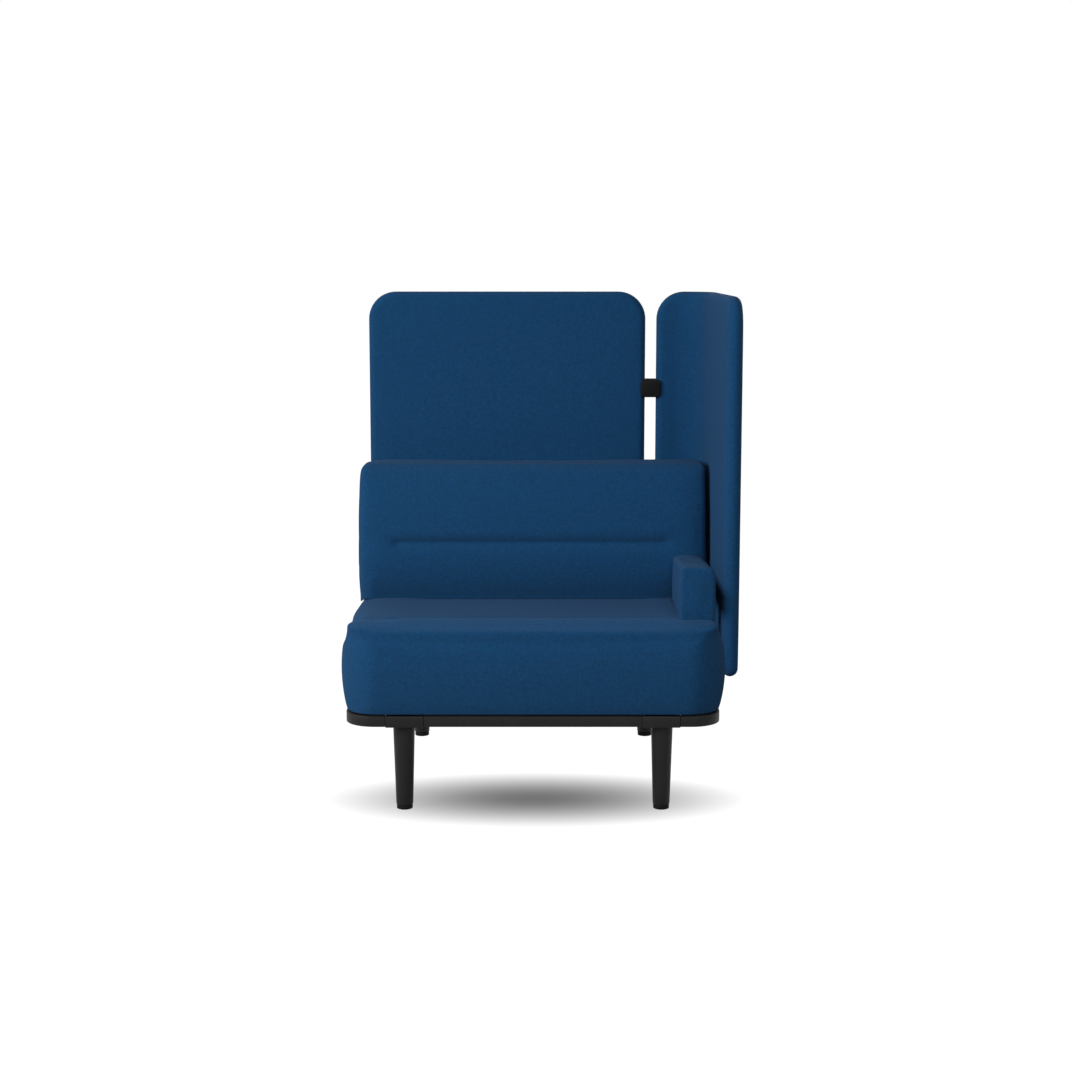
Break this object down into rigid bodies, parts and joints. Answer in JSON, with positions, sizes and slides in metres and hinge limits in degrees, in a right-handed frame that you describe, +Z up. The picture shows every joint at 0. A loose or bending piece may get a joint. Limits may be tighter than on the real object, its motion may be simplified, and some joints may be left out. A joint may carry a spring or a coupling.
{
  "type": "acoustic high back lounge chair",
  "caption": "Upholstered lounge seat module on tapered legs, with a wedge back, one armrest and tall acoustic screens behind and round one side.",
  "frame": {"origin": "on the floor, under the middle of the overall box", "axes": "+Z up, the seat faces -Y, +X to the right as the front is seen; the side screen is on +X"},
  "size_m": [0.966, 0.8736, 1.225],
  "materials": {
    "cover": "navy blue felted wool upholstery, matt with a soft bloom",
    "foam": "cold cured foam, open cells",
    "plywood": "birch plywood, unfinished",
    "dust_cloth": "black non-woven under cloth",
    "clip_nylon": "black moulded nylon, finely spark eroded",
    "pad_nylon": "black moulded nylon",
    "rubber": "black rubber, moulded",
    "zinc_steel": "zinc plated steel",
    "leg_coat": "black powder coat, satin",
    "frame_coat": "black powder coat, matt"
  },
  "bodies": {
    "lounge": {"arm_board": "plywood", "arm_cover": "cover", "arm_foam": "foam", "arm_upright_front": "frame_coat", "arm_upright_rear": "frame_coat", "back_board": "plywood", "back_cover": "cover", "back_foam": "foam", "back_screen_bolt_left": "zinc_steel", "back_screen_bolt_right": "zinc_steel", "back_screen_bracket_left": "frame_coat", "back_screen_bracket_right": "frame_coat", "back_screen_core": "plywood", "back_screen_sleeve": "cover", "back_upright_left": "frame_coat", "back_upright_right": "frame_coat", "clip_front": "clip_nylon", "clip_rear": "clip_nylon", "clip_screw": "zinc_steel", "corner_screen_core": "plywood", "corner_screen_sleeve": "cover", "cross_rail_left": "frame_coat", "cross_rail_right": "frame_coat", "leg_bolt_fl": "zinc_steel", "leg_bolt_fr": "zinc_steel", "leg_bolt_rl": "zinc_steel", "leg_bolt_rr": "zinc_steel", "leg_bracket_fl": "frame_coat", "leg_bracket_fr": "frame_coat", "leg_bracket_rl": "frame_coat", "leg_bracket_rr": "frame_coat", "leg_fl": "leg_coat", "leg_fr": "leg_coat", "leg_rl": "leg_coat", "leg_rr": "leg_coat", "rail_front": "frame_coat", "rail_left": "frame_coat", "rail_rear": "frame_coat", "rail_right": "frame_coat", "seat_board": "plywood", "seat_cover": "cover", "seat_dust_cloth": "dust_cloth", "seat_foam": "foam", "seat_spacer_fl": "rubber", "seat_spacer_fr": "rubber", "seat_spacer_rl": "rubber", "seat_spacer_rr": "rubber", "side_screen_bolt_front": "zinc_steel", "side_screen_bolt_rear": "zinc_steel", "side_screen_bracket_front": "frame_coat", "side_screen_bracket_rear": "frame_coat"},
    "glide_fl": {"glide_pad_fl": "pad_nylon", "glide_stud_fl": "zinc_steel"},
    "glide_fr": {"glide_pad_fr": "pad_nylon", "glide_stud_fr": "zinc_steel"},
    "glide_rl": {"glide_pad_rl": "pad_nylon", "glide_stud_rl": "zinc_steel"},
    "glide_rr": {"glide_pad_rr": "pad_nylon", "glide_stud_rr": "zinc_steel"}
  },
  "joints": [
    {"name": "level_fl", "type": "slide", "parent": "lounge", "child": "glide_fl", "axis": [0, 0, -1], "range_m": [0, 0.01]},
    {"name": "level_fr", "type": "slide", "parent": "lounge", "child": "glide_fr", "axis": [0, 0, -1], "range_m": [0, 0.01]},
    {"name": "level_rl", "type": "slide", "parent": "lounge", "child": "glide_rl", "axis": [0, 0, -1], "range_m": [0, 0.01]},
    {"name": "level_rr", "type": "slide", "parent": "lounge", "child": "glide_rr", "axis": [0, 0, -1], "range_m": [0, 0.01]}
  ]
}
